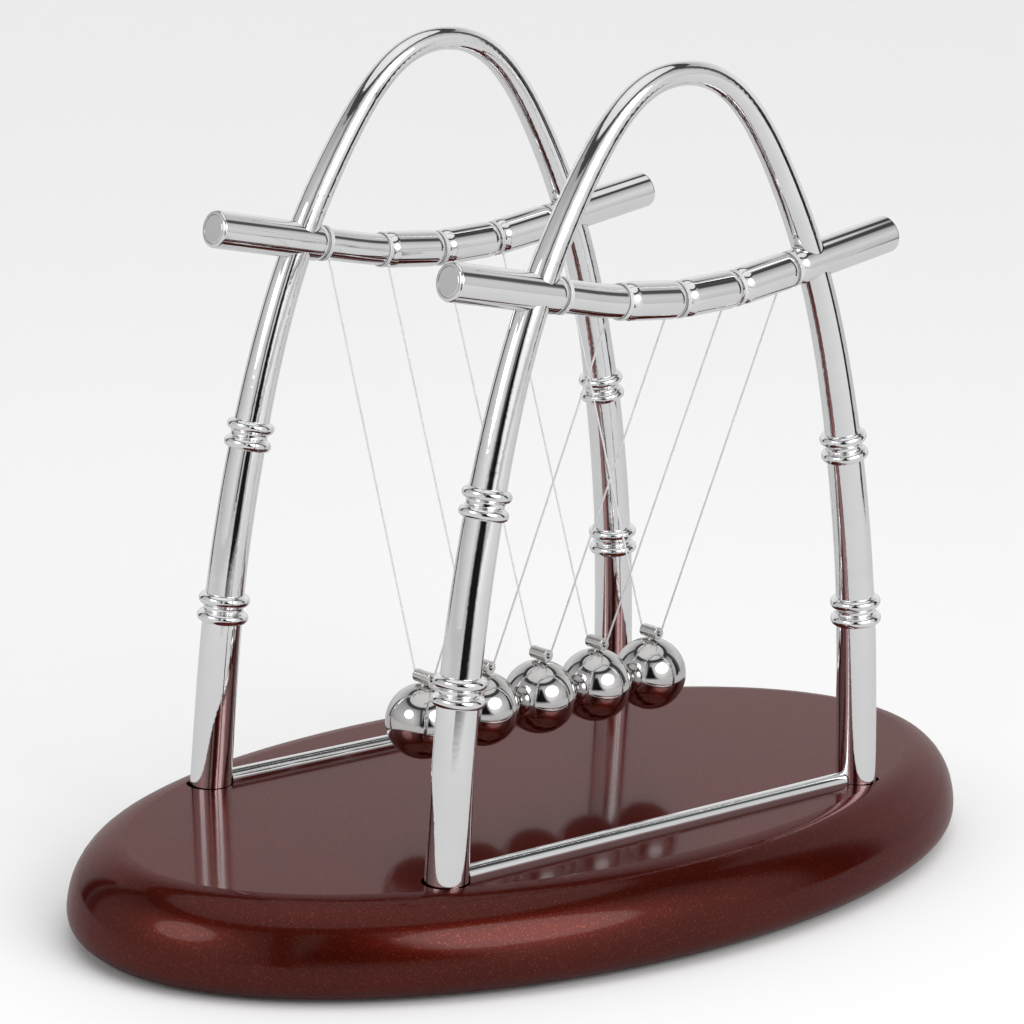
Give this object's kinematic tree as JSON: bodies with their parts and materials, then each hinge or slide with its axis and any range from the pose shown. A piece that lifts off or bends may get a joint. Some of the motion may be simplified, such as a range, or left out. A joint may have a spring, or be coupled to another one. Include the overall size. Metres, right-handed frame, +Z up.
{
  "type": "newtons cradle",
  "caption": "Desk pendulum toy: steel balls hang in V lines between two chrome arches with sagging crossbars, on an oval burgundy base.",
  "frame": {"origin": "centre of the underside, on the table", "axes": "+X along the line of balls, +Y from the front arch to the rear arch, +Z up"},
  "size_m": [0.224, 0.13, 0.1772],
  "materials": {
    "lacquered_wood": "high-gloss burgundy lacquer with fine pearl",
    "foam_pad": "matt black foam rubber",
    "chrome_plate": "mirror chrome plate",
    "ball_steel": "mirror-polished solid steel",
    "hanger_steel": "drawn steel tube, satin",
    "zinc_steel": "zinc-plated steel",
    "nylon_line": "translucent nylon monofilament"
  },
  "bodies": {
    "frame": {"ball_2": "ball_steel", "ball_3": "ball_steel", "ball_4": "ball_steel", "ball_hanger_2": "hanger_steel", "ball_hanger_3": "hanger_steel", "ball_hanger_4": "hanger_steel", "ball_line_2": "nylon_line", "ball_line_3": "nylon_line", "ball_line_4": "nylon_line", "bar_cap_front_left": "chrome_plate", "bar_cap_front_right": "chrome_plate", "bar_cap_rear_left": "chrome_plate", "bar_cap_rear_right": "chrome_plate", "base_board": "lacquered_wood", "base_pad": "foam_pad", "ferrule_lower_front_left": "chrome_plate", "ferrule_lower_front_right": "chrome_plate", "ferrule_lower_rear_left": "chrome_plate", "ferrule_lower_rear_right": "chrome_plate", "ferrule_upper_front_left": "chrome_plate", "ferrule_upper_front_right": "chrome_plate", "ferrule_upper_rear_left": "chrome_plate", "ferrule_upper_rear_right": "chrome_plate", "front_bow": "chrome_plate", "front_crossbar": "chrome_plate", "front_rail": "chrome_plate", "leg_lower_front_left": "chrome_plate", "leg_lower_front_right": "chrome_plate", "leg_lower_rear_left": "chrome_plate", "leg_lower_rear_right": "chrome_plate", "leg_middle_front_left": "chrome_plate", "leg_middle_front_right": "chrome_plate", "leg_middle_rear_left": "chrome_plate", "leg_middle_rear_right": "chrome_plate", "leg_screws": "zinc_steel", "leg_washers": "zinc_steel", "line_knot_front_2": "nylon_line", "line_knot_front_3": "nylon_line", "line_knot_front_4": "nylon_line", "line_knot_rear_2": "nylon_line", "line_knot_rear_3": "nylon_line", "line_knot_rear_4": "nylon_line", "line_wraps_front": "nylon_line", "line_wraps_rear": "nylon_line", "rear_bow": "chrome_plate", "rear_crossbar": "chrome_plate", "rear_rail": "chrome_plate"},
    "left_ball": {"ball_1": "ball_steel", "ball_hanger_1": "hanger_steel", "ball_line_1": "nylon_line", "line_knot_front_1": "nylon_line", "line_knot_rear_1": "nylon_line"},
    "right_ball": {"ball_5": "ball_steel", "ball_hanger_5": "hanger_steel", "ball_line_5": "nylon_line", "line_knot_front_5": "nylon_line", "line_knot_rear_5": "nylon_line"}
  },
  "joints": [
    {"name": "left_ball_swing", "type": "hinge", "parent": "frame", "child": "left_ball", "pos_m": [-0.032, 0, 0.13042], "axis": [0, -1, 0], "range_deg": [-45, 0]},
    {"name": "right_ball_swing", "type": "hinge", "parent": "frame", "child": "right_ball", "pos_m": [0.032, 0, 0.13042], "axis": [0, -1, 0], "range_deg": [0, 45]}
  ]
}
